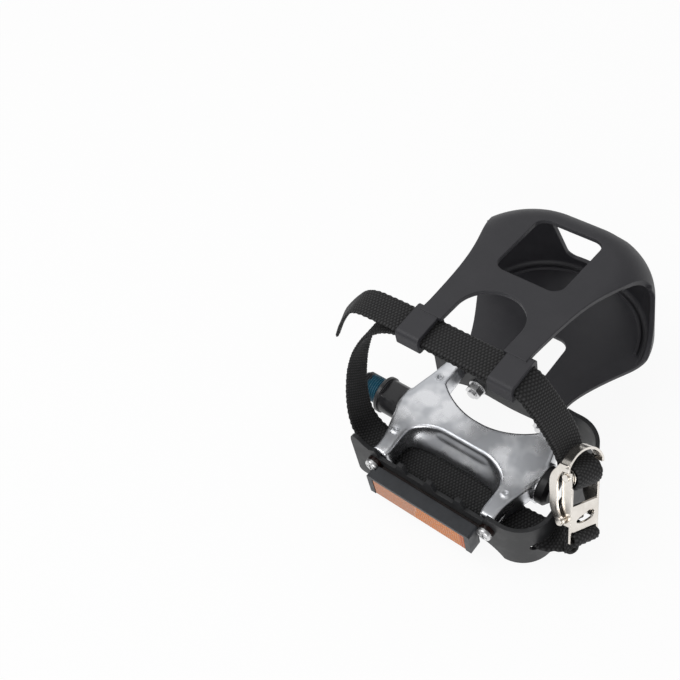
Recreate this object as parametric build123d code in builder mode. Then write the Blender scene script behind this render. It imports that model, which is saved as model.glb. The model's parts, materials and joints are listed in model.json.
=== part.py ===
"""Toe clip pedal for the right-hand crank: every separate piece as its own STEP file.

X runs outboard along the spindle from the crank's face, Y forward to the toe, Z up. Millimetres.
"""
import math
import os

from build123d import *

os.makedirs("parts", exist_ok=True)

# body
body_x = 56.0  # crank face to the middle of the body
top_z = 10.0  # flat top above the spindle axis
barrel_r = 10.5
barrel_half = 41.5
arm_end_y = 33.2
arm_low_z = -2.5
web_rear_y, lip_rear_y, lip_t = -6.8, -14.6, 1.5  # rear of the web at its top, and of the lip at its foot

# cage
cage_t = 2.0
plate_y = 33.5  # inner faces of the front and rear plates
end_x = 113.0  # outer face of the outboard end
cage_r = 17.0  # outer corner radius
cage_inboard_x = 8.0
cage_low_z = -19.5
cage_top_z = 12.0
cage_tip_z = 15.2  # raised inboard corners
cage_arch_z = -12.6  # lower edge between the ends
tooth_top_z, tooth_valley_z, tooth_pitch = 12.4, 7.0, 17.0

# spindle and bearings
thread_r = 7.14
thread_len = 13.0
flange_r, flange_t = 10.0, 2.4
flat_half = 7.5  # half the size across the spanner flats
shoulder_r, neck_r = 9.2, 7.4  # outside and just inside the mouth of the body
key_r, key_depth = 3.46, 7.0  # hex socket in the threaded end
body_gap = 0.4
ball_r = 1.5
ball_gap = 0.05
ring_in_r, ring_in_x, ring_in_n = 6.6, body_x - barrel_half + 6.0, 12
ring_out_r, ring_out_x, ring_out_n = 5.6, body_x + barrel_half - 9.5, 10
shaft_r = 4.4
stud_r = 3.4  # thread for the cone and locknut
cup_wall = 1.0
cup_in_len, cup_out_len = 9.0, 7.0
cap_r, cap_head = 9.6, 5.5
bore_r = 6.2  # hole through the body between the cups
fit = 0.05  # radial gap of pieces slid together

# reflector
reflector_x = body_x - 1.4
lens_half = 27.4
lens_top_z, lens_low_z = 1.8, -12.0
lens_face_y = -44.5
ear_t, ear_r = 2.0, 3.9
shroud_wall, hood_t, hood_reach = 3.2, 1.9, 0.4  # side walls, roof, and how far they pass the lens

# fasteners
screw_x, screw_z, screw_r = lens_half + 6.0, 2.5, 2.0
screw_head_r, screw_head_t = 3.7, 2.4
arm_outer_x, arm_inner_x = screw_x + 2.2, screw_x - 5.2
mark_x, mark_y = screw_x - 0.9, 18.6  # round moulding marks near the arm ends
bolt_z, bolt_r = -7.7, 2.5
hex_across, nut_t, washer_r, washer_t = 8.0, 4.0, 5.0, 1.0

# toe clip
clip_t = 2.4
clip_half_low, clip_half_high = 50.2, 51.8
clip_front_low, clip_front_high = 119.0, 106.2
clip_r_low, clip_r_high = 44.0, 40.0
clip_floor_z = 9.0  # underside of the floor
clip_ceiling_z = 80.0  # height of the upper outline
clip_slope_y, clip_slope_z, clip_slope = 14.0, 77.1, 0.133  # upper face: place and fall per mm forward
clip_round_top, clip_round_low = 21.0, 5.0
side_open_y, side_open_z = 88.4, 67.4  # foremost and highest reach of the open sides
window_w, window_l, window_y = 35.6, 41.6, 72.7
front_open_z, front_open_half = (18.5, 61.0), (16.0, 24.0)  # opening in the front wall: low, high
clip_corner_r = 6.0
loop_in_x, loop_out_x = 18.5, 31.0
loop_rear_y, loop_front_y = -6.0, 14.0
loop_open_h = 5.6
slot_half, slot_end_y = 12.5, 70.0
leg_in_x, leg_out_x, leg_low_z = 12.5, screw_x - 4.8, -15.0
bolt_x = (leg_in_x + leg_out_x) / 2

# strap
strap_w, strap_t = 15.0, 1.8
strap_y = 4.0  # middle of the strap in the clip's loops
under_y, under_z = -20.6, -4.6  # middle of the strap under the arms
slot_y = -20.0  # where it leaves through the cage
layer_gap = 0.7

# buckle, in its own plane: x across the strap, y up along it, z outward
buckle_at = (119.8, -0.6, 23.8)
sheet_t = 1.2
plate_half, plate_top, plate_low = 9.2, -9.3, -27.3
cheek_depth, cheek_foot, cheek_top = 5.8, 7.4, 6.9
pin_r = 1.3
roller_y, roller_z, roller_r = 3.8, -3.4, 4.2
pivot_y, pivot_z = -16.8, -4.7
bail_gap, bail_band, bail_rise = 1.2, 4.4, 17.0  # gap to the cheeks, width of its sides, top of its arch

across = Vector(0.2617, 0.8452, -0.4661).normalized()
outward = Vector(0.9222, -0.0765, 0.379)
outward = (outward - across * outward.dot(across)).normalized()
buckle = Plane(origin=buckle_at, x_dir=across, z_dir=outward)


def save(part, node):
    part.label = node
    export_step(part, f"parts/{node}.step")


def on_y(y, z=0.0):
    """Sketch plane facing -Y at this Y, its x along X from the body's middle and its y along Z."""
    return Plane(origin=(body_x, y, z), x_dir=(1, 0, 0), z_dir=(0, -1, 0))


def on_x(x):
    """Sketch plane facing +X at this X, its x along Y and its y along Z."""
    return Plane(origin=(x, 0, 0), x_dir=(0, 1, 0), z_dir=(1, 0, 0))


def on_z(z):
    """Sketch plane facing up at this Z, its x from the body's middle."""
    return Plane(origin=(body_x, 0, z))


def turned(points, mode=Mode.ADD):
    """Turns a closed outline of (x, radius) points about the spindle axis."""
    with BuildSketch(Plane.XY) as outline:
        with BuildLine():
            Polyline(*points, close=True)
        make_face()
    revolve(outline.sketch, axis=Axis.X, mode=mode)


# body: H-shaped casting round the spindle
cup_in_r = ring_in_r + ball_r + ball_gap
cup_out_r = ring_out_r + ball_r + ball_gap
barrel_x0, barrel_x1 = body_x - barrel_half, body_x + barrel_half
cap_plug_r = cup_out_r + cup_wall - 0.2
cup_out_x0 = ring_out_x - 3.5
with BuildPart() as body:
    bulge_x, arc_x = barrel_half - 0.3, arm_inner_x - 0.6
    with BuildSketch(on_z(arm_low_z)):
        with BuildLine():
            for s in (-1, 1):
                Spline((s * arm_outer_x, -arm_end_y), (s * (arm_outer_x + 1.2), -20),
                       (s * (bulge_x - 0.6), -7), (s * bulge_x, 1), (s * (bulge_x - 1.6), 10),
                       (s * (arm_outer_x + 1.2), 21), (s * arm_outer_x, arm_end_y))
                Line((s * arm_outer_x, arm_end_y), (s * arm_inner_x, arm_end_y))
                Line((s * arm_inner_x, arm_end_y), (s * arc_x, 17.4))
            Line((-arm_outer_x, -arm_end_y), (arm_outer_x, -arm_end_y))
            ThreePointArc((-arc_x, 17.4), (0, 6.7), (arc_x, 17.4))
        make_face()
    extrude(amount=top_z - arm_low_z)
    # rear opening: its wall runs out from the rim down to a lip
    with BuildPart(mode=Mode.SUBTRACT):
        for z, out in ((top_z + 0.01, 0), (4.0, 0.42), (arm_low_z + lip_t, 0.97), (arm_low_z - 0.01, 1)):
            lip_y = web_rear_y + out * (lip_rear_y - web_rear_y)
            with BuildSketch(on_z(z)):
                with BuildLine():
                    for s in (-1, 1):
                        Spline((s * arm_inner_x, -arm_end_y - 1), (s * (arc_x - 0.2 * out), -22 - 2 * out),
                               (s * (arc_x - 1.0 - 1.1 * out), lip_y - 7.7 + 4.3 * out),
                               (s * (arc_x - 7.1), lip_y - 2.4 + 1.4 * out), (s * (arc_x - 16), lip_y))
                    Line((16 - arc_x, lip_y), (arc_x - 16, lip_y))
                    Line((-arm_inner_x, -arm_end_y - 1), (arm_inner_x, -arm_end_y - 1))
                make_face()
        loft()
    for radius, x0, x1, y1 in ((1.6, 0, arc_x, 0), (1.0, arm_outer_x, 2 * barrel_half, arm_end_y)):
        rim = body.edges().filter_by(lambda e: abs(e.center().Z - top_z) < 0.02)
        rim = rim.filter_by(lambda e: x0 <= abs(e.center().X - body_x) < x1)
        fillet(rim.filter_by(lambda e: 5 - arm_end_y < e.center().Y < y1), radius=radius)
    with BuildSketch(on_x(barrel_x0)):
        Circle(barrel_r)
    extrude(amount=2 * barrel_half)
    with BuildSketch(on_z(top_z)):
        Rectangle(4 * barrel_half, 4 * barrel_half)
    extrude(amount=barrel_r, mode=Mode.SUBTRACT)
    marks = [(body_x + sx * mark_x, sy * mark_y, top_z) for sx in (-1, 1) for sy in (-1, 1)]
    with Locations(*marks):
        Cone(2.2, 1.7, 0.4, align=(Align.CENTER, Align.CENTER, Align.MIN))
        Cylinder(1.0, 1.2, mode=Mode.SUBTRACT)
    seat_in_r, seat_out_r = cup_in_r + cup_wall + fit, cup_out_r + cup_wall + fit
    turned([(barrel_x0 - 1, 0), (barrel_x0 - 1, seat_in_r), (barrel_x0 + cup_in_len, seat_in_r),
            (barrel_x0 + cup_in_len, bore_r), (cup_out_x0, bore_r), (cup_out_x0, seat_out_r),
            (barrel_x1 + 1, seat_out_r), (barrel_x1 + 1, 0)], Mode.SUBTRACT)
    for face_y in (-arm_end_y, arm_end_y):
        with BuildSketch(on_y(face_y)):
            with Locations((-screw_x, screw_z), (screw_x, screw_z)):
                Circle(screw_r + fit)
        extrude(amount=9 if face_y > 0 else -9, mode=Mode.SUBTRACT)
    with BuildSketch(on_z(arm_low_z)):
        with Locations(*[(sx * (screw_x - 1.5), y) for sx in (-1, 1) for y in (24, -20)]):
            RectangleRounded(3.6, 8.0, 1.4)
    extrude(amount=1.8, mode=Mode.SUBTRACT)
save(body.part, "body")

# cage: one steel strip bent round the outboard end
cage_y = plate_y + cage_t
strap_slot_w, strap_slot_h = strap_w + 5.4, 6.0
with BuildPart() as cage:
    cage_tall = cage_tip_z - cage_low_z + 1
    for inset, height, mode in ((0, cage_tall, Mode.ADD), (cage_t, 2 * cage_tall, Mode.SUBTRACT)):
        with BuildSketch(on_z(cage_low_z - inset)):
            with BuildLine():
                x_end, y_out, r = end_x - body_x - inset, cage_y - inset, cage_r - inset
                x_in = cage_inboard_x - body_x - inset
                Polyline((x_end - r, y_out), (x_in, y_out), (x_in, -y_out), (x_end - r, -y_out))
                TangentArc((x_end - r, -y_out), (x_end, -y_out + r), tangent=(1, 0))
                Line((x_end, -y_out + r), (x_end, y_out - r))
                TangentArc((x_end, y_out - r), (x_end - r, y_out), tangent=(0, 1))
            make_face()
        extrude(amount=height, mode=mode)
    # teeth and the raised inboard corner, the same on both plates
    corner_x, far_x = cage_inboard_x - body_x, end_x - body_x + 1
    with BuildSketch(on_y(cage_y + 1)):
        with BuildLine():
            teeth = [(corner_x - cage_t - 1, cage_tip_z - 5.0), (corner_x, cage_tip_z - 5.0),
                     (corner_x + 0.7, cage_tip_z - 2.0), (corner_x + 2.4, cage_tip_z),
                     (corner_x + 4.8, cage_tip_z - 0.7), (corner_x + 8.4, tooth_top_z - 1.0),
                     (corner_x + 11.5, tooth_top_z - 2.4)]
            for middle in (-1.5 * tooth_pitch, -0.5 * tooth_pitch, 0.5 * tooth_pitch, 1.5 * tooth_pitch):
                teeth += [(middle - 7.0, tooth_top_z), (middle - 5.0, tooth_valley_z),
                          (middle + 5.0, tooth_valley_z), (middle + 7.0, tooth_top_z)]
            teeth += [(2.1 * tooth_pitch, cage_top_z), (far_x, cage_top_z)]
            Polyline(*teeth, (far_x, 2 * cage_tip_z), (corner_x - cage_t - 1, 2 * cage_tip_z), close=True)
        make_face()
    extrude(amount=2 * cage_y + 2, mode=Mode.SUBTRACT)
    # lower edge: arched between the ends
    arch_low_z = cage_low_z - 10
    with BuildSketch(on_y(cage_y + 1)):
        with BuildLine():
            Spline((corner_x + 8, arch_low_z), (corner_x + 11.5, cage_arch_z - 4.4),
                   (corner_x + 18, cage_arch_z - 0.8), (0, cage_arch_z), (far_x - 25, cage_arch_z - 0.4),
                   (far_x - 19, cage_arch_z - 4.4), (far_x - 14.5, arch_low_z))
            Line((far_x - 14.5, arch_low_z), (corner_x + 8, arch_low_z))
        make_face()
    extrude(amount=2 * cage_y + 2, mode=Mode.SUBTRACT)
    ends = cage.edges().filter_by(Axis.Y).filter_by(lambda e: e.center().X < cage_inboard_x + 0.1)
    fillet(ends.filter_by(lambda e: e.center().Z < 0), radius=3.0)
    with BuildSketch(on_x(end_x + 1)):
        with Locations((slot_y, under_z)):
            SlotOverall(strap_slot_w, strap_slot_h)
    extrude(amount=-cage_r - 2, mode=Mode.SUBTRACT)
    for face_y in (-cage_y, cage_y):
        with BuildSketch(on_y(face_y - 1)):
            with Locations((-screw_x, screw_z), (screw_x, screw_z)):
                Circle(screw_r + 0.2)
            if face_y > 0:
                with Locations((-bolt_x, bolt_z), (bolt_x, bolt_z)):
                    Circle(bolt_r + 0.2)
        extrude(amount=-cage_t - 2, both=True, mode=Mode.SUBTRACT)
save(cage.part, "cage")

# spindle: threaded end, flange, shoulder with two flats, race, shaft and stud
race_in_r = ring_in_r - ball_r - ball_gap
race_out_r = ring_out_r - ball_r - ball_gap
stud_x0, stud_x1 = ring_out_x - 3.0, ring_out_x + 11.4
flat_len = barrel_x0 - body_gap - flange_t - 1.7
with BuildPart() as spindle:
    turned([(-thread_len, 0), (-thread_len, thread_r - 1.0), (-thread_len + 1.0, thread_r), (0, thread_r),
            (0, flange_r - 0.6), (0.6, flange_r), (flange_t, flange_r), (flange_t, shoulder_r),
            (barrel_x0 - body_gap, shoulder_r), (barrel_x0 - body_gap, neck_r),
            (ring_in_x - 3.2, neck_r), (ring_in_x - 1.2, race_in_r), (ring_in_x + 3.0, race_in_r),
            (ring_in_x + 4.5, shaft_r), (stud_x0, shaft_r), (stud_x0, stud_r), (stud_x1 - 0.6, stud_r),
            (stud_x1, stud_r - 0.6), (stud_x1, 0)])
    for side in (-1, 1):
        with BuildSketch(on_z(side * flat_half)):
            with Locations((flange_t + 0.6 + flat_len / 2 - body_x, 0)):
                Rectangle(flat_len, 3 * shoulder_r)
        extrude(amount=side * shoulder_r, mode=Mode.SUBTRACT)
    with BuildSketch(on_x(-thread_len)):
        RegularPolygon(key_r, 6)
    extrude(amount=key_depth, mode=Mode.SUBTRACT)
save(spindle.part, "spindle")

# bearings: cups pressed in the body, cone, tabbed washer and locknut on the stud, two rings of balls
with BuildPart() as cup_inboard:
    x0 = barrel_x0 + 0.6
    turned([(x0, 8.0), (x0, cup_in_r + cup_wall), (barrel_x0 + cup_in_len - fit, cup_in_r + cup_wall),
            (barrel_x0 + cup_in_len - fit, race_in_r + 0.6), (ring_in_x + 1.9, race_in_r + 0.6),
            (ring_in_x + 1.2, cup_in_r), (ring_in_x - 2.4, cup_in_r)])
save(cup_inboard.part, "cup_inboard")

with BuildPart() as cup_outboard:
    x0 = cup_out_x0 + fit
    turned([(x0, race_out_r + 1.4), (x0, cup_out_r + cup_wall), (x0 + cup_out_len, cup_out_r + cup_wall),
            (x0 + cup_out_len, cup_out_r), (ring_out_x - 1.2, cup_out_r),
            (ring_out_x - 1.9, race_out_r + 1.4)])
save(cup_outboard.part, "cup_outboard")

with BuildPart() as cone:
    turned([(stud_x0 + 0.2, stud_r + fit), (stud_x0 + 0.2, race_out_r), (ring_out_x + 0.9, race_out_r),
            (ring_out_x + 2.4, 6.3), (ring_out_x + 4.0, 6.3), (ring_out_x + 4.0, stud_r + fit)])
save(cone.part, "cone")

with BuildPart() as lock_washer:
    turned([(ring_out_x + 4.05, stud_r + fit), (ring_out_x + 4.05, 6.0), (ring_out_x + 5.0, 6.0),
            (ring_out_x + 5.0, stud_r + fit)])
save(lock_washer.part, "lock_washer")

with BuildPart() as locknut:
    with BuildSketch(on_x(ring_out_x + 5.05)):
        RegularPolygon(5.5, 6, major_radius=False)
        Circle(stud_r + fit, mode=Mode.SUBTRACT)
    extrude(amount=4.2)
save(locknut.part, "locknut")

for node, x, r, n in (("balls_inboard", ring_in_x, ring_in_r, ring_in_n),
                      ("balls_outboard", ring_out_x, ring_out_r, ring_out_n)):
    turns = [2 * math.pi * i / n for i in range(n)]
    with BuildPart() as balls:
        with Locations(*[(x, r * math.cos(a), r * math.sin(a)) for a in turns]):
            Sphere(ball_r)
    save(balls.part, node)

with BuildPart() as dust_cap:
    end = barrel_x1 + cap_head
    turned([(barrel_x1 - 3.0, 7.0), (barrel_x1 - 3.0, cap_plug_r), (barrel_x1 + fit, cap_plug_r),
            (barrel_x1 + fit, cap_r), (end - 1.9, cap_r), (end, cap_r - 2.2), (end, 0), (end - 1.7, 0),
            (end - 1.7, 7.0)])
    fillet(dust_cap.edges().filter_by(lambda e: abs(e.center().X - end) < 0.01), radius=1.0)
save(dust_cap.part, "dust_cap")

# reflector: amber lens on a bar with two ears, in a dark hood with side walls
ear_y = -cage_y - fit
bar_top_z, bar_low_z = lens_top_z - 0.3, lens_top_z - 5.2
with BuildPart() as lens:
    with BuildSketch(on_y(ear_y)):
        with Locations((0, (bar_top_z + bar_low_z) / 2)):
            Rectangle(2 * screw_x, bar_top_z - bar_low_z)
        with Locations((-screw_x, screw_z), (screw_x, screw_z)):
            Circle(ear_r)
            Circle(screw_r + 0.2, mode=Mode.SUBTRACT)
    extrude(amount=ear_t)
    with BuildSketch(on_y(ear_y - ear_t)):
        with Locations((reflector_x - body_x, (lens_top_z + lens_low_z) / 2)):
            Rectangle(2 * lens_half, lens_top_z - lens_low_z)
    extrude(amount=ear_y - ear_t - lens_face_y)
save(lens.part, "reflector_lens")

with BuildPart() as shroud:
    back_y, hood_y = ear_y - ear_t - fit, lens_face_y - hood_reach
    hood_top_z = lens_top_z + hood_t
    with BuildSketch(on_y(back_y)):
        with Locations((reflector_x - body_x, (hood_top_z + lens_low_z) / 2)):
            Rectangle(2 * (lens_half + shroud_wall), hood_top_z - lens_low_z)
    extrude(amount=back_y - hood_y)
    fillet(shroud.edges().filter_by(Axis.Y).filter_by(lambda e: e.center().Z > lens_low_z + 1), radius=1.2)
    with BuildSketch(on_y(back_y + 1)):
        with Locations((reflector_x - body_x, lens_low_z + fit)):
            Rectangle(2 * (lens_half + fit), 2 * (lens_top_z - lens_low_z))
    extrude(amount=back_y - hood_y + 2, mode=Mode.SUBTRACT)
    with BuildSketch(on_y(back_y + 1)):
        with Locations((-screw_x, screw_z), (screw_x, screw_z)):
            Circle(screw_head_r + 0.3)
    extrude(amount=screw_head_t + 1.5, mode=Mode.SUBTRACT)
save(shroud.part, "reflector_shroud")

# screws through the cage into the arm ends; the rear pair also holds the lens by its ears
for node, sx, sy in (("screw_rear_inboard", -1, -1), ("screw_rear_outboard", 1, -1),
                     ("screw_front_inboard", -1, 1), ("screw_front_outboard", 1, 1)):
    face = cage_y + (ear_t + 2 * fit if sy < 0 else fit)
    plane = Plane(origin=(body_x + sx * screw_x, sy * face, screw_z), x_dir=(1, 0, 0), z_dir=(0, sy, 0))
    with BuildPart() as screw:
        with BuildSketch(plane):
            Circle(screw_head_r)
        extrude(amount=screw_head_t)
        fillet(screw.edges().filter_by(lambda e: abs(e.center().Y) > face + screw_head_t - 0.1), radius=1.2)
        with BuildSketch(plane):
            Circle(screw_r)
        extrude(amount=-(face - arm_end_y + 7.0))
        with BuildSketch(plane.offset(screw_head_t)):
            Rectangle(1.1, 5.0)
            Rectangle(5.0, 1.1)
        extrude(amount=-1.3, mode=Mode.SUBTRACT)
    save(screw.part, node)


# toe clip: hollow toe cut open, two arms with strap loops, two bolted legs
def toe(inset):
    """The closed toe shape, inset by a wall thickness; its rear end runs on further when inset."""
    y_rear = clip_slope_y - 4 - 3 * inset
    with BuildPart() as shape:
        for z, half, front, r in ((clip_floor_z, clip_half_low, clip_front_low, clip_r_low),
                                  (clip_ceiling_z, clip_half_high, clip_front_high, clip_r_high)):
            with BuildSketch(on_z(z)):
                with BuildLine():
                    h, f, q = half - inset, front - inset, r - inset
                    Polyline((-h, f - q), (-h, y_rear), (h, y_rear), (h, f - q))
                    TangentArc((h, f - q), (h - q, f), tangent=(0, 1))
                    Line((h - q, f), (q - h, f))
                    TangentArc((q - h, f), (-h, f - q), tangent=(-1, 0))
                make_face()
        loft(ruled=True)
        above = Plane(origin=(body_x, clip_slope_y, clip_slope_z - inset), x_dir=(1, 0, 0),
                      z_dir=(0, clip_slope, 1))
        split(bisect_by=above, keep=Keep.BOTTOM)
        below = Plane(origin=(body_x, 0, clip_floor_z + inset))
        split(bisect_by=below, keep=Keep.TOP)
        for end, r in ((-1, clip_round_top), (0, clip_round_low)):
            face = shape.faces().sort_by(Axis.Z)[end]
            fillet(face.edges().filter_by(lambda e: e.center().Y > y_rear + 1), radius=r - inset)
    return shape.part


loop_open_y = (loop_rear_y + 2.0, loop_front_y - 2.0)
loop_mid_y = (loop_rear_y + loop_front_y) / 2
loop_top_z = clip_slope_z - clip_t  # roof of the opening
loop_base_z = loop_top_z - loop_open_h
leg_y = cage_y + 0.1
floor_top_z = clip_floor_z + clip_t
with BuildPart() as clip:
    add(toe(0))
    add(toe(clip_t), mode=Mode.SUBTRACT)
    # open sides, from the rear to the front corners
    with BuildSketch(on_x(body_x)):
        with BuildLine():
            foot, brow = (side_open_y - 18, floor_top_z), (side_open_y - 26, side_open_z)
            Spline(foot, (side_open_y - 5.4, floor_top_z + 7), (side_open_y - 1, floor_top_z + 21),
                   (side_open_y, side_open_z - 20), (side_open_y - 4.8, side_open_z - 8),
                   (side_open_y - 15, side_open_z - 2.2), brow, tangents=((1, 0), (-1, clip_slope)))
            Polyline(brow, (0, side_open_z + brow[0] * clip_slope), (0, floor_top_z), foot)
        make_face()
    extrude(amount=70, both=True, mode=Mode.SUBTRACT)
    with BuildSketch(on_z(0)):
        with Locations((0, leg_y - 50)):
            Rectangle(140, 100)
    extrude(amount=40, mode=Mode.SUBTRACT)
    # arms, the arch between them and the top window, cut from above
    arm_edge = [(28.2, 17), (29, 30), (30, 41), (31.6, 52), (34, 62), (36.8, 70.5), (39.2, 78), (41.6, 85),
                (45.6, 90), (56, 94)]
    with BuildSketch(on_z(side_open_z - 11)):
        for side in (1, -1):
            edge = [(side * x, y) for x, y in arm_edge]
            with BuildLine():
                Spline(*edge)
                Polyline(edge[-1], (side * 70, edge[-1][1]), (side * 70, 0), (edge[0][0], 0), edge[0])
            make_face()
        with BuildLine():
            ThreePointArc((-16.8, 22.5), (0, 39.6), (16.8, 22.5))
            Polyline((16.8, 22.5), (16.8, 0), (-16.8, 0), (-16.8, 22.5))
        make_face()
        with Locations((0, window_y)):
            RectangleRounded(window_w, window_l, clip_corner_r)
    extrude(amount=clip_ceiling_z - side_open_z + 11, mode=Mode.SUBTRACT)
    # floor outline and the slot between the legs, cut from below
    floor_edge = [(30.6, 34), (32, 43), (35.2, 51.4), (40.6, 62.3), (45.2, 70.5), (48.8, 77.5), (52, 88)]
    with BuildSketch(on_z(0)):
        for side in (1, -1):
            edge = [(side * x, y) for x, y in floor_edge]
            with BuildLine():
                Spline(*edge)
                Polyline(edge[-1], (side * 70, edge[-1][1]), (side * 70, edge[0][1]), edge[0])
            make_face()
        with Locations((0, slot_end_y - 40)):
            RectangleRounded(2 * slot_half, 80, clip_corner_r)
    extrude(amount=floor_top_z + 2.2, mode=Mode.SUBTRACT)
    # opening in the front wall
    with BuildSketch(on_y(clip_front_low)):
        with BuildLine():
            (low, high), (low_half, high_half) = front_open_z, front_open_half
            Polyline((-high_half, high), (high_half, high), (low_half, low), (-low_half, low), close=True)
        make_face()
        fillet(vertices(), radius=clip_corner_r)
    extrude(amount=clip_round_top + clip_t, mode=Mode.SUBTRACT)
    # raised arc on the floor along the foot of the front wall
    with BuildSketch(on_z(floor_top_z - 0.3)):
        for inset, mode in ((6.4, Mode.ADD), (7.8, Mode.SUBTRACT)):
            h, f, q = clip_half_low - inset, clip_front_low - inset, clip_r_low - inset
            with BuildLine():
                Polyline((-h, f - q), (-h, 60), (h, 60), (h, f - q))
                TangentArc((h, f - q), (h - q, f), tangent=(0, 1))
                Line((h - q, f), (q - h, f))
                TangentArc((q - h, f), (-h, f - q), tangent=(-1, 0))
            make_face(mode=mode)
        with Locations((0, 60)):
            Rectangle(120, 40, mode=Mode.SUBTRACT)
    extrude(amount=1.4)
    # legs bolted to the front plate
    for side in (-1, 1):
        tall = floor_top_z - leg_low_z
        with BuildSketch(on_y(leg_y + clip_t)):
            with Locations((side * bolt_x, leg_low_z + tall / 2)):
                Rectangle(leg_out_x - leg_in_x, tall)
            fillet(vertices().group_by(Axis.Z)[0], radius=4)
            with Locations((side * bolt_x, bolt_z)):
                Circle(bolt_r + 0.2, mode=Mode.SUBTRACT)
        extrude(amount=clip_t)
        # strap loops at the arm ends
        with BuildSketch(on_x(body_x + side * loop_in_x)):
            with Locations((loop_mid_y, (clip_slope_z + loop_base_z - 2.0) / 2)):
                RectangleRounded(loop_front_y - loop_rear_y, clip_slope_z - loop_base_z + 2.0, 2.4)
        extrude(amount=side * (loop_out_x - loop_in_x))
        with BuildSketch(on_x(body_x + side * loop_in_x)):
            with Locations((sum(loop_open_y) / 2, loop_base_z + loop_open_h / 2)):
                RectangleRounded(loop_open_y[1] - loop_open_y[0], loop_open_h, 1.2)
        extrude(amount=side * 30, both=True, mode=Mode.SUBTRACT)
save(clip.part, "toe_clip")

# clip bolts: heads in front of the legs, washers and nuts inside the front plate
bolt_head_y = leg_y + clip_t + fit
for name, side in (("inboard", -1), ("outboard", 1)):
    head, inside, behind = (
        Plane(origin=(body_x + side * bolt_x, y, bolt_z), x_dir=(1, 0, 0), z_dir=(0, -1, 0))
        for y in (bolt_head_y, plate_y - fit, plate_y - 2 * fit - washer_t))
    with BuildPart() as bolt:
        with BuildSketch(head):
            RegularPolygon(hex_across / 2, 6, major_radius=False)
        extrude(amount=-3.4)
        with BuildSketch(head):
            Circle(bolt_r)
        extrude(amount=bolt_head_y - plate_y + washer_t + nut_t + 1.6)
    save(bolt.part, f"clip_bolt_{name}")
    with BuildPart() as washer:
        with BuildSketch(inside):
            Circle(washer_r)
            Circle(bolt_r + 0.2, mode=Mode.SUBTRACT)
        extrude(amount=washer_t)
    save(washer.part, f"clip_washer_{name}")
    with BuildPart() as nut:
        with BuildSketch(behind):
            RegularPolygon(hex_across / 2, 6, major_radius=False)
            fillet(vertices(), radius=0.4)
            Circle(bolt_r + fit, mode=Mode.SUBTRACT)
        extrude(amount=nut_t)
    save(nut.part, f"clip_nut_{name}")


# strap: one ribbon of webbing, set by places on its middle line
def local(x, y, z):
    return buckle.from_local_coords(Vector(x, y, z))


def smooth(points, steps):
    """Catmull-Rom line through the points, this many steps a span."""
    line = []
    for i in range(len(points) - 1):
        a, b, c, d = (points[max(0, min(len(points) - 1, i + k))] for k in (-1, 0, 1, 2))
        for k in range(steps):
            t = k / steps
            line.append((b * 2 + (c - a) * t + (a * 2 - b * 5 + c * 4 - d) * t**2
                         + (b * 3 - a - c * 3 + d) * t**3) * 0.5)
    return line + [points[-1]]


bar_y = plate_low + 1.2
pitch = strap_t + layer_gap
lower_z = loop_base_z + 0.6 + strap_t / 2
upper_z = lower_z + pitch
wrap_r = roller_r + 0.7 + strap_t / 2
loop_x0, loop_x1 = body_x - loop_out_x, body_x + loop_out_x
fold = [(-2.6, 1.2, -9), (-0.8, 1.2, -5.5), (0, 1.9, -2.7), (0, 2.5, -0.6), (0, 1.9, 1.2), (0, 0, 2.0),
        (0, -1.9, 1.2), (0, -2.6, -0.8), (-0.8, -2.2, -4), (-2.8, -1.6, -8.5)]  # about the bar
low_run = [(end_x, slot_y, under_z), (end_x - 3, slot_y - 0.2, under_z), (end_x - 14, under_y + 0.1, under_z),
           (body_x, under_y, under_z), (22, under_y, under_z), (14, under_y + 0.1, under_z)]
rise = [(6.5, -20.2, -2.6), (1, -19.3, 2.5), (-2, -17.8, 11), (-3.2, -15.2, 22), (-3, -12, 33), (-1, -8, 45),
        (3, -3, 55), (9.5, 1, 63), (17, 3.5, lower_z - 1.8)]
loops = (loop_x0, loop_x0 + 5, body_x, loop_x1 - 5, loop_x1)
level = Vector(0, 1, 0)
fall = [(91.5, 4.0, 70.6, 32), (97.0, 4.6, 64.6, 52), (102.6, 6.0, 51.5, 66), (106.2, 6.4, 38.6, 68),
        (109.3, 4.9, 31.0, 66)]


def layer(offset):
    """One of the two layers down to the buckle, beside the places and fall angles of their middle."""
    return [(Vector(x + offset * math.sin(math.radians(a)), y, z + offset * math.cos(math.radians(a))),
             level + (across - level) * i / len(fall)) for i, (x, y, z, a) in enumerate(fall)]


back = [(0, roller_y + 4, roller_z - wrap_r), (0, roller_y, roller_z - wrap_r)]
turn = [(0, roller_y - wrap_r * math.sin(math.radians(a)), roller_z - wrap_r * math.cos(math.radians(a)))
        for a in (45, 90, 135, 180, 225)]
tail = [(20, 4, 74.0), (12, 4, 74.5), (3, 4, 72), (-6, 4, 66), (-14, 4, 57), (-20.5, 4, 46.5), (-25.5, 4, 36),
        (-28.5, 4, 28.5)]
runs = ([(local(x, y + bar_y, z), across) for x, y, z in fold],
        [(Vector(*p), level) for p in low_run + rise],
        [(Vector(x, strap_y, lower_z), level) for x in loops],
        layer(-pitch / 2),
        [(local(*p), across) for p in back + turn],
        layer(pitch / 2)[::-1],
        [(Vector(x, strap_y, upper_z), level) for x in loops[::-1]],
        [(Vector(*p), level) for p in tail])
stations = [station for run in runs for station in run]
middle = smooth([p for p, _ in stations], 2)
facing = smooth([w for _, w in stations], 2)
sections = []
for i, (p, w) in enumerate(zip(middle, facing)):
    along = (middle[min(i + 1, len(middle) - 1)] - middle[max(i - 1, 0)]).normalized()
    side = (w - along * w.dot(along)).normalized()
    sections.append(Plane(origin=p, x_dir=side, z_dir=along))
with BuildPart() as strap:
    for plane in sections:
        with BuildSketch(plane):
            Rectangle(strap_w, strap_t)
    loft(ruled=True)
save(strap.part, "strap")


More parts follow.
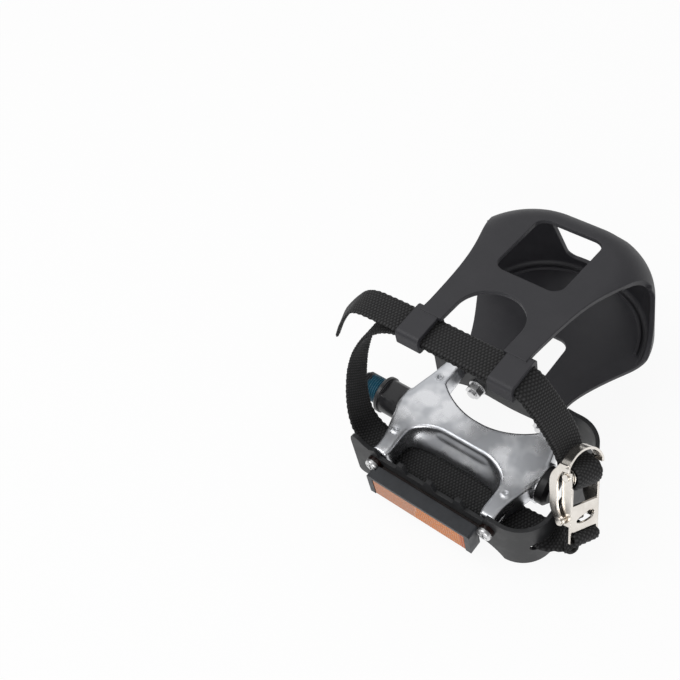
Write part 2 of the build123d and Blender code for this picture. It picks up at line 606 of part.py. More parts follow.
# buckle: frame with the roller and the sewn bar, and a sprung bail over the strap
def cheek_plane(x):
    """Sketch plane across the buckle at this x: its x up the strap, its y outward."""
    return Plane(origin=local(x, 0, 0), x_dir=buckle.y_dir, z_dir=buckle.x_dir)


with BuildPart() as frame:
    with BuildSketch(buckle.offset(-sheet_t)):
        with Locations((0, (plate_top + plate_low) / 2)):
            Rectangle(2 * plate_half, plate_top - plate_low)
        with Locations((0, bar_y + 2.5)):
            Rectangle(strap_w + 0.8, strap_t + 0.8, mode=Mode.SUBTRACT)
        # slanted teardrop window
        with BuildLine():
            Spline((-4.9, -18.2), (-5.3, -17.2), (-3.6, -16.0), (0.6, -14.6), (4.4, -13.9), (6.2, -15.0),
                   (5.8, -17.2), (2.6, -18.6), (-2.4, -18.8), (-4.9, -18.2))
        make_face(mode=Mode.SUBTRACT)
    extrude(amount=sheet_t)
    for x in (-plate_half, plate_half - sheet_t):
        with BuildSketch(cheek_plane(x)):
            with BuildLine():
                low = pivot_y - 2.6
                Polyline((low, 0), (cheek_top, 0), (cheek_top, -cheek_depth), (pivot_y + 6, -cheek_depth),
                         (pivot_y + 3, -cheek_foot), (low, -cheek_foot), close=True)
            make_face()
            top = local(x, cheek_top, -cheek_depth / 2)
            fillet(vertices().filter_by(lambda v: (v.center() - top).length < cheek_depth), radius=2.6)
            with Locations((roller_y, roller_z), (pivot_y, pivot_z)):
                Circle(pin_r + fit, mode=Mode.SUBTRACT)
        extrude(amount=sheet_t)
save(frame.part, "buckle_frame")

roller_half = plate_half - sheet_t - 0.3
with BuildPart() as roller:
    with BuildSketch(cheek_plane(-roller_half)):
        with Locations((roller_y, roller_z)):
            Circle(roller_r)
            Circle(pin_r + fit, mode=Mode.SUBTRACT)
    extrude(amount=2 * roller_half)
save(roller.part, "buckle_roller")

bail_in = plate_half + bail_gap
for node, y, z, half in (("roller_pin", roller_y, roller_z, plate_half),
                         ("bail_pin", pivot_y, pivot_z, bail_in + sheet_t)):
    with BuildPart() as pin:
        for x, length, r in ((-half - 0.1, 2 * half + 0.2, pin_r), (-half - 0.8, 0.7, pin_r + 0.5),
                             (half + 0.1, 0.7, pin_r + 0.5)):
            with BuildSketch(cheek_plane(x)):
                with Locations((y, z)):
                    Circle(r)
            extrude(amount=length)
    save(pin.part, node)

bail_line = [(pivot_y, pivot_z), (-13.4, -7.2), (-10, -8.4), (-5, -8.6), (0, -8.9), (4, -8.3), (7.5, -5.9),
             (11, -3.0)]
arch_depth, arch_foot = 5.0, 9.5
with BuildPart() as bail:
    for x in (-bail_in - sheet_t, bail_in):
        with BuildSketch(cheek_plane(x)):
            with BuildLine():
                Spline(*[(y, z + bail_band / 2) for y, z in bail_line])
                Spline(*[(y, z - bail_band / 2) for y, z in bail_line])
                for y, z in (bail_line[0], bail_line[-1]):
                    Line((y, z - bail_band / 2), (y, z + bail_band / 2))
            make_face()
            with Locations(bail_line[0]):
                Circle(bail_band / 2)
            with Locations(bail_line[0]):
                Circle(pin_r + fit, mode=Mode.SUBTRACT)
        extrude(amount=sheet_t)
    with BuildSketch(buckle.offset(-arch_depth)):
        for inset, mode in ((0, Mode.ADD), (sheet_t, Mode.SUBTRACT)):
            half, foot_y = bail_in + sheet_t - inset, arch_foot - 2 - inset
            with BuildLine():
                ThreePointArc((-half, arch_foot), (0, bail_rise - inset), (half, arch_foot))
                Polyline((half, arch_foot), (half, foot_y), (-half, foot_y), (-half, arch_foot))
            make_face(mode=mode)
    extrude(amount=arch_depth)
save(bail.part, "buckle_bail")

with BuildPart() as spring:
    with BuildLine():
        coil = Helix(pitch=1.6, height=6.4, radius=2.1, center=local(-3.2, pivot_y, pivot_z),
                     direction=buckle.x_dir)
    with BuildSketch(Plane(origin=coil @ 0, z_dir=coil % 0)):
        Circle(0.4)
    sweep()
save(spring.part, "bail_spring")
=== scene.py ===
import json
import math

import bpy
import numpy as np
from mathutils import Matrix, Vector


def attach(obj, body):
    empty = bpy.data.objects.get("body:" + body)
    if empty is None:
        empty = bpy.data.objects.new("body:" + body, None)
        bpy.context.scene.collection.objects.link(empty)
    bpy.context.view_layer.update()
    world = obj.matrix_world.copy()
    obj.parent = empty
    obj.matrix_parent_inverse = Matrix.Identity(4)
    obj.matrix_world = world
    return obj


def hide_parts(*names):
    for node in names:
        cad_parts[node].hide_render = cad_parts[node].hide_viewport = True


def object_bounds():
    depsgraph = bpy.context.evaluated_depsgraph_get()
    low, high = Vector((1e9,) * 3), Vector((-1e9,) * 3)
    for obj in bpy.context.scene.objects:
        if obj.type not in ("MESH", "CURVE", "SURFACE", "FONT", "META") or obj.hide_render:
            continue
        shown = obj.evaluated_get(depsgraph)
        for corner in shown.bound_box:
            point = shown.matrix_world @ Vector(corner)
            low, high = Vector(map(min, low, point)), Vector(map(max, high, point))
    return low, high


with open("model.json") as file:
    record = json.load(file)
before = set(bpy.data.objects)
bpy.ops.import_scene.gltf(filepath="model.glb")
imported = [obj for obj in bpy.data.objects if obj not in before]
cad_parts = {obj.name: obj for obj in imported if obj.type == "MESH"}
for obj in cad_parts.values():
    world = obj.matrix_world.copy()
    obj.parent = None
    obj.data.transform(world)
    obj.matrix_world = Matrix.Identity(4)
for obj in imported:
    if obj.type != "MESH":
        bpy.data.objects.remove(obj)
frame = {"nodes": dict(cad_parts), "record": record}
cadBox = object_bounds()
print("stage: frame loaded,", len(frame["nodes"]), "nodes")

millimetre = 0.001


# meshes from arrays of points

def newPiece(name, points, faces):
    mesh = bpy.data.meshes.new(name)
    mesh.from_pydata((points.reshape(-1, 3) * millimetre).tolist(), [], faces)
    mesh.update()
    piece = bpy.data.objects.new(name, mesh)
    bpy.context.scene.collection.objects.link(piece)
    return piece


def pointValues(mesh, key, value):
    layer = mesh.attributes.new(key, "FLOAT", "POINT")
    layer.data.foreach_set("value", value.astype(np.float32).ravel())


def gridPiece(name, points, tube=False):
    # points is (rows, columns, 3) in millimetres and neighbours share a quad;
    # a tube joins its last column to the first and has both ends closed
    rows, columns = points.shape[:2]
    index = np.arange(rows * columns).reshape(rows, columns)
    ends = []
    if tube:
        ends = [index[0][::-1].tolist(), index[-1].tolist()]
        index = np.concatenate([index, index[:, :1]], axis=1)
    corners = [index[:-1, :-1], index[:-1, 1:], index[1:, 1:], index[1:, :-1]]
    piece = newPiece(name, points, np.stack(corners, axis=-1).reshape(-1, 4).tolist() + ends)
    polygons = piece.data.polygons
    polygons.foreach_set("use_smooth", np.ones(len(polygons), bool))
    piece.data.update()
    return piece


def unitRows(vectors):
    return vectors / np.linalg.norm(vectors, axis=-1, keepdims=True)


def smoothLine(points, step, perSpan=40):
    # centripetal Catmull-Rom line through the points, then even steps along its length;
    # also gives the length so far and the station, counted in points, at each step
    ends = np.vstack([2 * points[0] - points[1], points, 2 * points[-1] - points[-2]])
    knots = np.concatenate([[0], np.cumsum(np.linalg.norm(np.diff(ends, axis=0), axis=1) ** 0.5)])
    spans = len(points) - 1
    share = np.arange(perSpan) / perSpan
    t0, t1, t2, t3 = (knots[k:k + spans, None, None] for k in range(4))
    p0, p1, p2, p3 = (ends[k:k + spans, None, :] for k in range(4))
    t = t1 + (t2 - t1) * share[None, :, None]
    a1 = ((t1 - t) * p0 + (t - t0) * p1) / (t1 - t0)
    a2 = ((t2 - t) * p1 + (t - t1) * p2) / (t2 - t1)
    a3 = ((t3 - t) * p2 + (t - t2) * p3) / (t3 - t2)
    b1 = ((t2 - t) * a1 + (t - t0) * a2) / (t2 - t0)
    b2 = ((t3 - t) * a2 + (t - t1) * a3) / (t3 - t1)
    dense = ((t2 - t) * b1 + (t - t1) * b2) / (t2 - t1)
    dense = np.vstack([dense.reshape(-1, 3), points[-1:]])
    station = np.append((np.arange(spans)[:, None] + share).ravel(), spans)
    along = np.concatenate([[0], np.cumsum(np.linalg.norm(np.diff(dense, axis=0), axis=1))])
    even = np.linspace(0, along[-1], int(round(along[-1] / step)) + 1)
    line = np.stack([np.interp(even, along, dense[:, k]) for k in range(3)], axis=1)
    return line, even, np.interp(even, along, station)


# shader building blocks

def material(name, sockets):
    made = bpy.data.materials.new(name)
    made.use_nodes = True
    shader = made.node_tree.nodes["Principled BSDF"]
    for socket, value in sockets.items():
        shader.inputs[socket].default_value = value
    return made, made.node_tree, shader


def node(tree, kind, values=None, **links):
    made = tree.nodes.new("ShaderNode" + kind)
    for key, value in (values or {}).items():
        if hasattr(made, key):
            setattr(made, key, value)
        else:
            made.inputs[key].default_value = value
    for key, source in links.items():
        tree.links.new(source, made.inputs[key])
    return made


def coordinates(tree):
    return node(tree, "TexCoord").outputs["Object"]


def axis(tree, where, name):
    return node(tree, "SeparateXYZ", Vector=where).outputs[name]


def attribute(tree, name):
    return node(tree, "Attribute", {"attribute_name": name}).outputs["Fac"]


def noise(tree, where, scale, detail=4.0, roughness=0.55):
    return node(tree, "TexNoise", {"Scale": scale, "Detail": detail, "Roughness": roughness},
                Vector=where).outputs["Fac"]


def spread(tree, value, low, high, fromLow=0.35, fromHigh=0.65):
    limits = {"From Min": fromLow, "From Max": fromHigh, "To Min": low, "To Max": high}
    return node(tree, "MapRange", limits, Value=value).outputs["Result"]


def sums(tree, operation, *terms):
    # a Math node whose inputs are links or plain numbers
    made = node(tree, "Math", {"operation": operation})
    for socket, term in zip(made.inputs, terms):
        if isinstance(term, float):
            socket.default_value = term
        else:
            tree.links.new(term, socket)
    return made.outputs[0]


def blendColour(tree, factor, first, second):
    # either colour is a link or three numbers
    mix = node(tree, "Mix", {"data_type": "RGBA"})
    for socket, colour in ((mix.inputs[6], first), (mix.inputs[7], second)):
        if isinstance(colour, tuple):
            socket.default_value = (*colour, 1)
        else:
            tree.links.new(colour, socket)
    tree.links.new(factor, mix.inputs[0])
    return mix.outputs[2]


def bumps(tree, shader, layers, edge=0.0):
    # layers of (height, depth in metres), over a normal rounded at the edges by this radius
    normal = None
    if edge:
        normal = node(tree, "Bevel", {"samples": 8, "Radius": edge}).outputs["Normal"]
    for height, depth in layers:
        bump = node(tree, "Bump", {"Strength": 1.0, "Distance": depth}, Height=height)
        if normal is not None:
            tree.links.new(normal, bump.inputs["Normal"])
        normal = bump.outputs["Normal"]
    tree.links.new(normal, shader.inputs["Normal"])


def mottled(name, s):
    # one cloudy noise moves both colour and roughness, and a finer grain is relief only;
    # cloud and grain are (scale, detail, roughness), depths and edge radius are in metres
    made, tree, shader = material(name, s["sockets"])
    where = coordinates(tree)
    cloud = noise(tree, where, *s["cloud"])
    colour = blendColour(tree, spread(tree, cloud, *s["tone"]), s["dark"], s["pale"])
    tree.links.new(colour, shader.inputs["Base Color"])
    tree.links.new(spread(tree, cloud, *s["rough"]), shader.inputs["Roughness"])
    layers = [(cloud, s["cloudDepth"])] if "cloudDepth" in s else []
    layers.append((noise(tree, where, *s["grain"]), s["grainDepth"]))
    bumps(tree, shader, layers, s["edge"])
    return made, tree, shader, where, colour


# finishes

castAlloy = {
    "sockets": {"Metallic": 1.0}, "cloud": (85, 2.0, 0.45), "tone": (0, 1, 0.42, 0.58),
    "dark": (0.56, 0.575, 0.605), "pale": (0.80, 0.81, 0.835), "rough": (0.34, 0.24),
    "cloudDepth": 0.00022, "grain": (1100, 3.0, 0.6), "grainDepth": 0.000005, "edge": 0.0019,
}
cagePaint = {
    "sockets": {"Specular IOR Level": 0.32}, "cloud": (140, 4.0), "tone": (0, 0.25, 0.5, 0.75),
    "dark": (0.017, 0.0175, 0.019), "pale": (0.07, 0.07, 0.073), "rough": (0.40, 0.50),
    "grain": (1600, 2.0), "grainDepth": 0.00003, "edge": 0.0004,
}
clipNylon = {
    "sockets": {"Specular IOR Level": 0.45}, "cloud": (60, 5.0), "tone": (0, 0.5, 0.45, 0.75),
    "dark": (0.026, 0.0255, 0.030), "pale": (0.044, 0.043, 0.048), "rough": (0.46, 0.56),
    "grain": (2400, 2.0), "grainDepth": 0.00004, "edge": 0.0008,
}
blackPlastic = {
    "sockets": {"Specular IOR Level": 0.45}, "cloud": (200, 3.0), "tone": (0, 0.6),
    "dark": (0.018, 0.020, 0.024), "pale": (0.032, 0.035, 0.040), "rough": (0.36, 0.5),
    "grain": (1800, 2.0), "grainDepth": 0.00003, "edge": 0.0003,
}
# darker copy of blackPlastic for the dust cap: painted shade
capPlasticPaintedShade = {**blackPlastic, "dark": (0.005, 0.005, 0.006), "pale": (0.010, 0.010, 0.011)}
nickelPlate = {
    "sockets": {"Metallic": 1.0}, "cloud": (180, 4.0), "tone": (0, 1),
    "dark": (0.76, 0.715, 0.66), "pale": (0.86, 0.82, 0.765), "rough": (0.16, 0.25),
    "cloudDepth": 0.00006, "grain": (1500, 2.0), "grainDepth": 0.000006, "edge": 0.0004,
}
groundSteel = {
    "sockets": {"Metallic": 1.0}, "cloud": (260, 4.0), "tone": (0, 1),
    "dark": (0.48, 0.49, 0.51), "pale": (0.62, 0.63, 0.65), "rough": (0.2, 0.32),
    "grain": (1200, 2.0), "grainDepth": 0.000006, "edge": 0.0003,
}
zincSteel = {
    **groundSteel, "dark": (0.66, 0.66, 0.67), "pale": (0.80, 0.80, 0.80), "rough": (0.28, 0.38),
}
darkSteel = {
    "sockets": {"Specular IOR Level": 0.55}, "cloud": (220, 4.0), "tone": (0, 0.6),
    "dark": (0.018, 0.018, 0.020), "pale": (0.040, 0.040, 0.043), "rough": (0.28, 0.42),
    "grain": (900, 2.0), "grainDepth": 0.00003, "edge": 0.0003,
}
# coating on the turns next to the flange, along x in metres, torn at its outer edge
threadCoat = {
    "colour": (0.012, 0.10, 0.16), "onset": (-0.0070, -0.0060), "stop": (-0.0008, -0.0007),
    "tear": 0.004, "tearNoise": (300, 3.0),
}


def makeDarkSteel():
    made, tree, shader, where, plain = mottled("darkSteel", darkSteel)
    s = threadCoat
    place = axis(tree, where, "X")
    torn = sums(tree, "MULTIPLY_ADD", noise(tree, where, *s["tearNoise"]), s["tear"], place)
    onset, stop = spread(tree, torn, 0, 1, *s["onset"]), spread(tree, place, 1, 0, *s["stop"])
    coated = sums(tree, "MULTIPLY", onset, stop)
    tree.links.new(blendColour(tree, coated, plain, s["colour"]), shader.inputs["Base Color"])
    return made


webbing = {
    "sockets": {"Sheen Weight": 0.12, "Sheen Roughness": 0.4, "Specular IOR Level": 0.4},
    # gap is the yarn's colour darkened as painted shade between the crowns
    "gap": (0.0025, 0.0025, 0.0025), "yarn": (0.034, 0.034, 0.0355), "rough": (0.85, 0.5),
    "fibre": (2200, 3.0, 0.7), "fibreDepth": 0.00006,
}


def makeWebbing():
    # crown is how high the yarn stands in the weave, from the strap's own mesh; the colour runs from gap,
    # painted shade, to yarn on the crowns
    s = webbing
    made, tree, shader = material("webbing", s["sockets"])
    crown = attribute(tree, "crown")
    tree.links.new(blendColour(tree, crown, s["gap"], s["yarn"]), shader.inputs["Base Color"])
    tree.links.new(spread(tree, crown, *s["rough"], 0, 1), shader.inputs["Roughness"])
    bumps(tree, shader, [(noise(tree, coordinates(tree), *s["fibre"]), s["fibreDepth"])])
    return made


amber = {
    "sockets": {"Roughness": 0.2, "Coat Weight": 0.4, "Coat Roughness": 0.12},
    # the left field's colour is amber paled by a painted reflection
    "left": (0.47, 0.19, 0.09), "right": (0.56, 0.175, 0.028), "end": (0.46, 0.088, 0.0),
    # the back colour is painted shade over the lens's rear, from the depth range after it
    "back": (0.010, 0.003, 0.002), "paintedShadeFrom": (-0.0440, -0.0415), "haze": (90, 3.0),
    "grain": (900, 2.0), "grainDepth": 0.00003,
}


def makeAmber(name, onPrisms):
    # the prisms are coloured by their field: 0 left, 1 right, 2 the deep end, the left colour being amber
    # paled by a painted reflection; the lens itself is hazy in front, between the same two colours, and
    # dark behind as painted shade
    s = amber
    made, tree, shader = material(name, s["sockets"])
    where = coordinates(tree)
    if onPrisms:
        field = attribute(tree, "field")
        front = blendColour(tree, spread(tree, field, 0, 1, 0.4, 0.6), s["left"], s["right"])
        mask, other = spread(tree, field, 0, 1, 1.4, 1.6), s["end"]
    else:
        haze = noise(tree, where, *s["haze"])
        front = blendColour(tree, spread(tree, haze, 0, 1), s["right"], s["left"])
        # painted shade: the lens turns dark from this depth rearwards
        mask, other = spread(tree, axis(tree, where, "Y"), 0, 1, *s["paintedShadeFrom"]), s["back"]
    tree.links.new(blendColour(tree, mask, front, other), shader.inputs["Base Color"])
    bumps(tree, shader, [(noise(tree, where, *s["grain"]), s["grainDepth"])])
    return made


finishes = {
    "cast_alloy": mottled("castAlloy", castAlloy)[0],
    "black_steel": mottled("cagePaint", cagePaint)[0],
    "dark_steel": makeDarkSteel(),
    "bearing_steel": mottled("groundSteel", groundSteel)[0],
    "zinc_steel": mottled("zincSteel", zincSteel)[0],
    "nickel_plate": mottled("nickelPlate", nickelPlate)[0],
    "clip_nylon": mottled("clipNylon", clipNylon)[0],
    "black_plastic": mottled("blackPlastic", blackPlastic)[0],
    "amber_lens": makeAmber("amberLens", False),
    "webbing": makeWebbing(),
}
for row in frame["record"]["subparts"]:
    mesh = frame["nodes"][row["node"]].data
    mesh.materials.clear()
    mesh.materials.append(finishes[row["material_slot"]])
# the cap gets a darker copy of the shroud's plastic, as painted shade
frame["nodes"]["dust_cap"].data.materials[0] = mottled("capPlasticPaintedShade", capPlasticPaintedShade)[0]
print("stage: finishes on the nodes")


# strap: a woven ribbon carried along its middle line

strapSettings = {
    "width": 15.9, "thick": 1.8, "rowStep": 0.35, "sectionPower": 10,
    "ribPitch": 1.7, "columns": 10, "perColumn": 3, "relief": 0.40, "restLevel": 0.75, "seamHeight": 0.25,
    "flatFrom": 0.6, "scallop": 0.36, "edgePower": 12,
    "tipLength": 4.0, "tipShare": 0.45, "tipPower": 0.7,
}
buckleSettings = {
    "at": (119.8, -0.6, 23.8), "across": (0.2617, 0.8452, -0.4661), "outward": (0.9222, -0.0765, 0.379),
    "barY": -26.1, "rollerY": 3.8, "rollerZ": -3.4,
}
routeSettings = {
    # on the buckle: round the lower bar, then two points of the run away from it
    "fold": [(0, 1.9, -2.7), (0, 2.5, -0.6), (0, 1.9, 1.2), (0, 0, 2.0), (0, -1.9, 1.2), (0, -2.6, -0.8)],
    "legs": [(-0.8, -2.2, -4), (-2.8, -1.6, -8.5)],
    "legTwist": (0.45, 1), "legFacing": (0.05, 0.78, 0.60), "lapGap": 2.2,
    # through the cage, under the body and up the inboard side
    "under": [(113, -20, -4.6), (110, -20.2, -4.6), (99, -21.2, -4.6), (56, -21.4, -4.6),
              (22, -21.4, -4.6), (14, -21.3, -4.6)],
    "rise": [(7.6, -20.8, -2.8), (2.4, -19.8, 2.4), (0, -18.4, 10.5), (-1.3, -15.9, 21), (-1.5, -12.8, 32),
             (-0.9, -9.1, 42.4), (1.1, -4.9, 51.7), (5.2, -0.8, 59.8), (11.8, 2.3, 65.6), (19, 3.8, 69)],
    # in the clip's loops, one layer over the other
    "loopX": (25, 30, 56, 82, 87), "loopY": 4.0, "lowerZ": 70.6, "upperZ": 73.1,
    # midway between both layers on the way to the buckle, with the slope there in degrees
    "fall": [(90.4, 4.0, 69.8, 38), (94.4, 4.6, 63.0, 58), (99.8, 5.8, 51.0, 66), (104.6, 6.4, 38.9, 68),
             (108.8, 4.9, 30.8, 66)],
    "layerPitch": 2.5,
    # down to the roller and round it, in degrees from its inner side
    "rollerLead": 4, "rollerRadius": 5.8, "rollerTurn": (0, 45, 90, 135, 180, 225),
    # free end, with the share of its turn on itself
    "tail": [(20, 4, 73.4, 0), (10, 4, 72.8, 0), (1.5, 4, 71.8, 0), (-5, 4, 68.6, 0.05),
             (-11.2, 3.8, 60.9, 0.3), (-16, 3.5, 53.2, 0.6), (-20.4, 3.2, 45.2, 0.9),
             (-23.6, 2.8, 37.6, 1)],
    "tailFacing": (-0.36, 0.93, 0.06),
}


def strapStations():
    # places on the middle line, each with the way that the strap's width points there
    b, r = buckleSettings, routeSettings
    across = unitRows(np.array(b["across"]))
    outward = np.array(b["outward"])
    outward = unitRows(outward - across * (across @ outward))
    axes = np.array([across, np.cross(outward, across), outward])
    level = np.array([0, 1.0, 0])

    def onBuckle(points):
        return np.array(b["at"]) + np.array(points, float) @ axes

    def facing(first, last, shares):
        return first + (np.array(last) - first) * np.array(shares, float)[:, None]

    def plain(points, way):
        return np.array(points, float), np.tile(way, (len(points), 1))

    def layer(offset):
        # the fall's points moved square to their slope, turning from level to the buckle's own way
        x, y, z, slope = np.array(r["fall"]).T
        slope = np.radians(slope)
        places = np.stack([x + offset * np.sin(slope), y, z + offset * np.cos(slope)], axis=1)
        return places, facing(level, across, np.arange(len(x)) / len(x))

    # outside the cage the sewn end lies on the run, and both twist so that their front edge is the higher
    bar = np.array([0, b["barY"], 0])
    run = onBuckle(r["legs"] + bar)
    twist = facing(across, r["legFacing"], r["legTwist"])
    lap = run + r["lapGap"] * unitRows(np.cross(run[0] - run[1], twist))
    turn = np.radians(r["rollerTurn"])
    roller = np.stack([0 * turn, b["rollerY"] - r["rollerRadius"] * np.sin(turn),
                       b["rollerZ"] - r["rollerRadius"] * np.cos(turn)], axis=1)
    roller = np.vstack([roller[:1] + [0, r["rollerLead"], 0], roller])
    *tail, tailShare = np.array(r["tail"]).T
    inner, outer = layer(-r["layerPitch"] / 2), layer(r["layerPitch"] / 2)
    runs = [
        (lap[::-1], twist[::-1]),
        plain(onBuckle(r["fold"] + bar), across),
        (run, twist),
        plain(r["under"] + r["rise"], level),
        plain([(x, r["loopY"], r["lowerZ"]) for x in r["loopX"]], level),
        inner,
        plain(onBuckle(roller), across),
        (outer[0][::-1], outer[1][::-1]),
        plain([(x, r["loopY"], r["upperZ"]) for x in r["loopX"][::-1]], level),
        (np.stack(tail, axis=1), facing(level, r["tailFacing"], tailShare)),
    ]
    return np.vstack([places for places, _ in runs]), np.vstack([ways for _, ways in runs])


def makeStrap():
    s = strapSettings
    places, ways = strapStations()
    line, along, station = smoothLine(places, s["rowStep"])
    width = np.stack([np.interp(station, np.arange(len(ways)), ways[:, k]) for k in range(3)], axis=1)
    tangent = unitRows(np.gradient(line, axis=0))
    width = unitRows(width - tangent * (width * tangent).sum(1, keepdims=True))
    normal = np.cross(tangent, width)
    # outline of the section: a flattened superellipse, even steps on both faces
    perFace = s["columns"] * s["perColumn"] + 1
    t = np.linspace(-1, 1, perFace)
    half = (1 - np.abs(t) ** s["sectionPower"]) ** 0.5
    overWidth = np.concatenate([t, t[::-1][1:-1]])
    face = np.concatenate([np.ones(perFace), -np.ones(perFace - 2)])
    height = np.concatenate([half, half[::-1][1:-1]]) * face
    x = overWidth * s["width"] / 2
    # weave: a crown every rib pitch in each column, half a pitch on in the next column
    ribs = along[:, None] / s["ribPitch"]
    inColumn = (overWidth * 0.5 + 0.5) * s["columns"]
    ridge = np.abs(np.sin(np.pi * inColumn))
    odd = np.floor(inColumn).clip(0, s["columns"] - 1) % 2
    wave = 0.5 + 0.5 * np.cos(2 * np.pi * ribs + np.pi * odd)
    crown = wave * (s["seamHeight"] + (1 - s["seamHeight"]) * ridge)
    # edge loops: the weft turns back outside the edge at every second rib
    loops = 0.5 + 0.5 * np.cos(np.pi * ribs)
    reach = x + np.sign(x) * np.abs(overWidth) ** s["edgePower"] * s["scallop"] * loops
    # tip: the width runs down to a blunt point on one side
    cut = np.clip((along[-1] - along) / s["tipLength"], 0, 1)[:, None]
    tip = s["tipShare"] + (1 - s["tipShare"]) * cut ** s["tipPower"]
    reach = np.where(reach < 0, reach * tip, reach)
    woven = face * (np.abs(height) > s["flatFrom"]) * s["relief"]
    lift = height * s["thick"] / 2 + woven * (crown - s["restLevel"])
    points = line[:, None, :] + reach[..., None] * width[:, None, :] + lift[..., None] * normal[:, None, :]
    piece = gridPiece("strapWebbing", points, tube=True)
    mesh = piece.data
    flatPlace = np.stack(np.broadcast_arrays(along[:, None], x), axis=-1).reshape(-1, 2) * millimetre
    corner = np.empty(len(mesh.loops), np.int32)
    mesh.loops.foreach_get("vertex_index", corner)
    mesh.uv_layers.new(name="UVMap").data.foreach_set("uv", flatPlace[corner].astype(np.float32).ravel())
    pointValues(mesh, "crown", crown)
    mesh.materials.append(finishes["webbing"])
    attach(piece, "pedal")
    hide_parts("strap")
    print("stage: strap", round(along[-1], 1), "mm long,", len(mesh.polygons), "faces")


makeStrap()


# spindle: its outline turned about the axis, with real thread turns

spindleSettings = {
    "outline": [(0, 7.14), (0, 9.4), (0.6, 10.0), (2.4, 10.0), (2.4, 9.2), (14.1, 9.2), (14.1, 7.4),
                (17.3, 7.4), (19.3, 5.05), (23.5, 5.05), (25, 4.4), (85, 4.4), (85, 3.4), (98.8, 3.4),
                (99.4, 2.8), (99.4, 0.01)],
    "around": 96, "rowStep": 1.0, "pole": 0.01, "crease": 32,
    "threadEnd": -13.0, "lead": 1.0, "endRadius": 6.14, "threadRadius": 7.14, "pitch": 1.27, "perTurn": 10,
    "threadDepth": 0.72, "flank": 2.5, "root": 0.1, "runOut": 1.0,
    "socket": 3.46, "socketDepth": 7.0,
    "flatHalf": 7.5, "flatEnds": (3.0, 13.0), "flatRadius": 9.2, "flatStep": 0.01,
}


def makeSpindle():
    s = spindleSettings
    angle = np.linspace(0, 2 * np.pi, s["around"], endpoint=False)
    # socket: a hexagon's radius, its flat's distance over the cosine of the angle from the flat's middle
    sixth = np.pi / 6
    hexagon = s["socket"] * math.cos(sixth) / np.cos((angle + sixth) % (2 * sixth) - sixth)
    floor = s["threadEnd"] + s["socketDepth"]
    socketX = np.array([floor, floor, s["threadEnd"], s["threadEnd"]])
    socketR = np.stack([0 * angle + s["pole"], hexagon, hexagon, 0 * angle + s["endRadius"]])
    # thread: a triangle wave of depth, one turn further along for each turn of the angle
    threadX = np.arange(s["threadEnd"] + s["lead"], 0, s["pitch"] / s["perTurn"])
    turn = (threadX[:, None] / s["pitch"] - angle / (2 * np.pi)) % 1
    groove = 1 - np.clip(np.abs(turn - 0.5) * s["flank"] - s["root"], 0, 1)
    fade = np.minimum(1, -threadX / s["runOut"])[:, None]
    threadR = s["threadRadius"] - s["threadDepth"] * groove * fade
    # rest of the outline in even rows, with a close pair where each end of the flats steps down
    corners = np.array(s["outline"])
    spans = [np.linspace(a, b, max(1, int(abs(b[0] - a[0]) / s["rowStep"])), endpoint=False)
             for a, b in zip(corners[:-1], corners[1:])]
    rest = np.vstack([*spans, corners[-1:]])
    for edge in s["flatEnds"]:
        at = np.searchsorted(rest[:, 0], edge, side="right")
        pair = [(edge - s["flatStep"], s["flatRadius"]), (edge + s["flatStep"], s["flatRadius"])]
        rest = np.vstack([rest[:at], pair, rest[at:]])
    x = np.concatenate([socketX, threadX, rest[:, 0]])[:, None]
    r = np.vstack([socketR, threadR, np.tile(rest[:, 1:], (1, s["around"]))])
    z = r * np.sin(angle)
    onFlat = (x > s["flatEnds"][0]) & (x < s["flatEnds"][1])
    z = np.where(onFlat, np.clip(z, -s["flatHalf"], s["flatHalf"]), z)
    points = np.stack([np.broadcast_to(x, r.shape), r * np.cos(angle), z], axis=-1)
    piece = gridPiece("spindleTurned", points[::-1], tube=True)
    piece.modifiers.new("edges", "EDGE_SPLIT").split_angle = math.radians(s["crease"])
    piece.data.materials.append(finishes["dark_steel"])
    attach(piece, "spindle")
    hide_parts("spindle")
    print("stage: spindle,", len(piece.data.polygons), "faces")


makeSpindle()


# lens face: a sheet of small prisms, in two fields that lean opposite ways

prismSettings = {
    "x": (27.4, 81.8), "z": (-11.8, 1.6), "y": -44.5, "across": 40, "up": 10, "foot": 0.02, "height": 0.32,
    "lean": 0.3, "seam": 0.42, "slant": 0.25, "end": 0.93,
}


def makePrisms():
    # each cell is a low pyramid whose peak is off its middle, left in one field and right in the other;
    # four corners and the peak are placed by shares u and v of the cell
    s = prismSettings
    i, j = np.meshgrid(np.arange(s["across"]), np.arange(s["up"]), indexing="ij")
    right = i > s["across"] * s["seam"] + j * s["slant"]
    field = np.where(right, np.where(i > s["across"] * s["end"], 2.0, 1.0), 0.0)
    none, full = np.zeros(i.shape), np.ones(i.shape)
    u = np.stack([none, full, full, none, 0.5 + np.where(right, s["lean"], -s["lean"])], axis=-1)
    v = np.array([0, 0, 1, 1, 0.5])
    depth = np.array([s["foot"]] * 4 + [s["height"]])
    wide, tall = (s["x"][1] - s["x"][0]) / s["across"], (s["z"][1] - s["z"][0]) / s["up"]
    points = np.stack(np.broadcast_arrays(s["x"][0] + (i[..., None] + u) * wide, s["y"] - depth,
                                          s["z"][0] + (j[..., None] + v) * tall), axis=-1)
    corner = np.arange(4)
    sides = np.stack([corner, (corner + 1) % 4, 0 * corner + 4], axis=-1)
    faces = (len(v) * np.arange(i.size)[:, None, None] + sides).reshape(-1, 3)
    piece = newPiece("lensPrisms", points, faces.tolist())
    pointValues(piece.data, "field", np.repeat(field.ravel(), len(v)))
    piece.data.materials.append(makeAmber("amberPrisms", True))
    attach(piece, "pedal")
    print("stage: lens prisms,", len(faces), "faces")


makePrisms()


# camera, floor and light

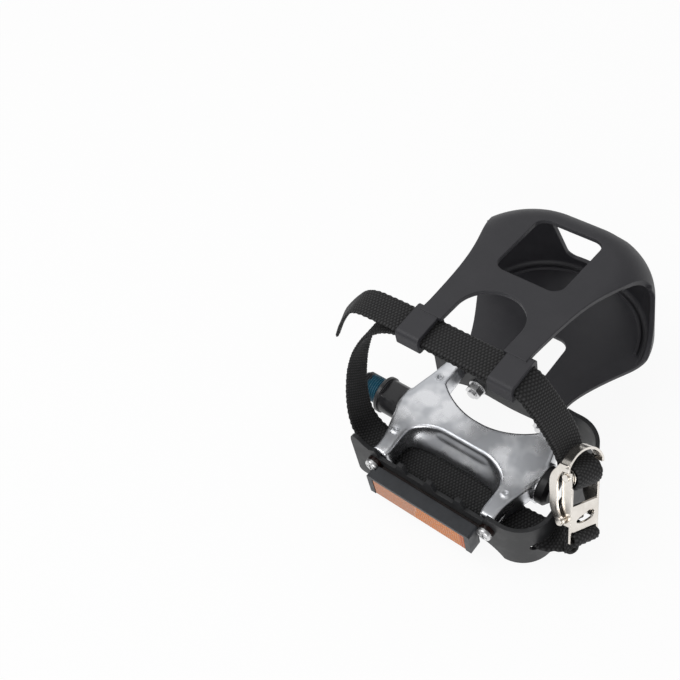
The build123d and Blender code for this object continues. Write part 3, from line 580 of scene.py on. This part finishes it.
cameraSettings = {
    "place": (233.9, -195.6, 427.4), "right": (0.7591, 0.6245, -0.1841), "up": (-0.4140, 0.6812, 0.6037),
    "back": (0.5024, -0.3821, 0.7756), "focalPixels": 1000.0, "imagePixels": 680.0, "sensor": 36.0,
    "clip": (0.01, 20),
}


def placed(name, data, place, right, up, back):
    piece = bpy.data.objects.new(name, data)
    turn = Matrix((right, up, back)).transposed().to_4x4()
    piece.matrix_world = Matrix.Translation(place) @ turn
    bpy.context.scene.collection.objects.link(piece)
    return piece


def makeCamera():
    c = cameraSettings
    data = bpy.data.cameras.new("photoCamera")
    data.sensor_width = c["sensor"]
    data.lens = c["focalPixels"] / c["imagePixels"] * c["sensor"]
    data.clip_start, data.clip_end = c["clip"]
    place = [v * millimetre for v in c["place"]]
    bpy.context.scene.camera = placed("photoCamera", data, place, c["right"], c["up"], c["back"])


floorSettings = {"size": 6000.0, "gap": 0.2, "white": 0.9, "rough": 0.9, "lift": 0.92}


def makeFloor():
    # a flat square just under the part; what is seen of it, also in metal, is lifted to white
    s = floorSettings
    side = np.linspace(-s["size"] / 2, s["size"] / 2, 3)
    gridX, gridY = np.meshgrid(side, side, indexing="ij")
    low = cadBox[0][2] / millimetre - s["gap"]
    floor = gridPiece("floor", np.stack([gridX, gridY, np.full_like(gridX, low)], axis=-1))
    sockets = {"Base Color": (*[s["white"]] * 3, 1), "Roughness": s["rough"]}
    made, tree, shader = material("paleFloor", sockets)
    path = node(tree, "LightPath").outputs
    seen = sums(tree, "MAXIMUM", path["Is Camera Ray"], path["Is Glossy Ray"])
    seen = sums(tree, "MAXIMUM", seen, path["Is Transmission Ray"])
    glow = node(tree, "Emission", {"Color": (1, 1, 1, 1), "Strength": 1.0})
    mixed = node(tree, "MixShader")
    tree.links.new(sums(tree, "MULTIPLY", seen, s["lift"]), mixed.inputs[0])
    tree.links.new(shader.outputs[0], mixed.inputs[1])
    tree.links.new(glow.outputs[0], mixed.inputs[2])
    tree.links.new(mixed.outputs[0], tree.nodes["Material Output"].inputs["Surface"])
    floor.data.materials.append(made)


lightSettings = {
    "aim": (0.05, 0.03, 0.02), "room": 0.42,
    "lamps": [
        {"name": "key", "place": (-0.42, -0.30, 0.92), "size": 0.7, "power": 3.6},
        {"name": "fill", "place": (0.55, -0.80, 0.45), "size": 0.6, "power": 3.2},
        {"name": "back", "place": (-0.45, 0.45, 1.05), "size": 1.5, "power": 3.4},
    ],
}


def makeLights():
    for lamp in lightSettings["lamps"]:
        data = bpy.data.lights.new(lamp["name"], "AREA")
        data.shape, data.size, data.energy = "SQUARE", lamp["size"], lamp["power"]
        back = unitRows(np.array(lamp["place"]) - np.array(lightSettings["aim"]))
        right = unitRows(np.cross([0, 1, 0.001], back))
        placed(lamp["name"], data, lamp["place"], right, np.cross(back, right), back)
    world = bpy.data.worlds.new("softRoom")
    world.use_nodes = True
    background = world.node_tree.nodes["Background"]
    background.inputs["Color"].default_value = (1, 1, 1, 1)
    background.inputs["Strength"].default_value = lightSettings["room"]
    bpy.context.scene.world = world


makeCamera()
makeFloor()
makeLights()
bpy.context.scene.view_settings.view_transform = "Standard"
print("stage: camera, floor and light")
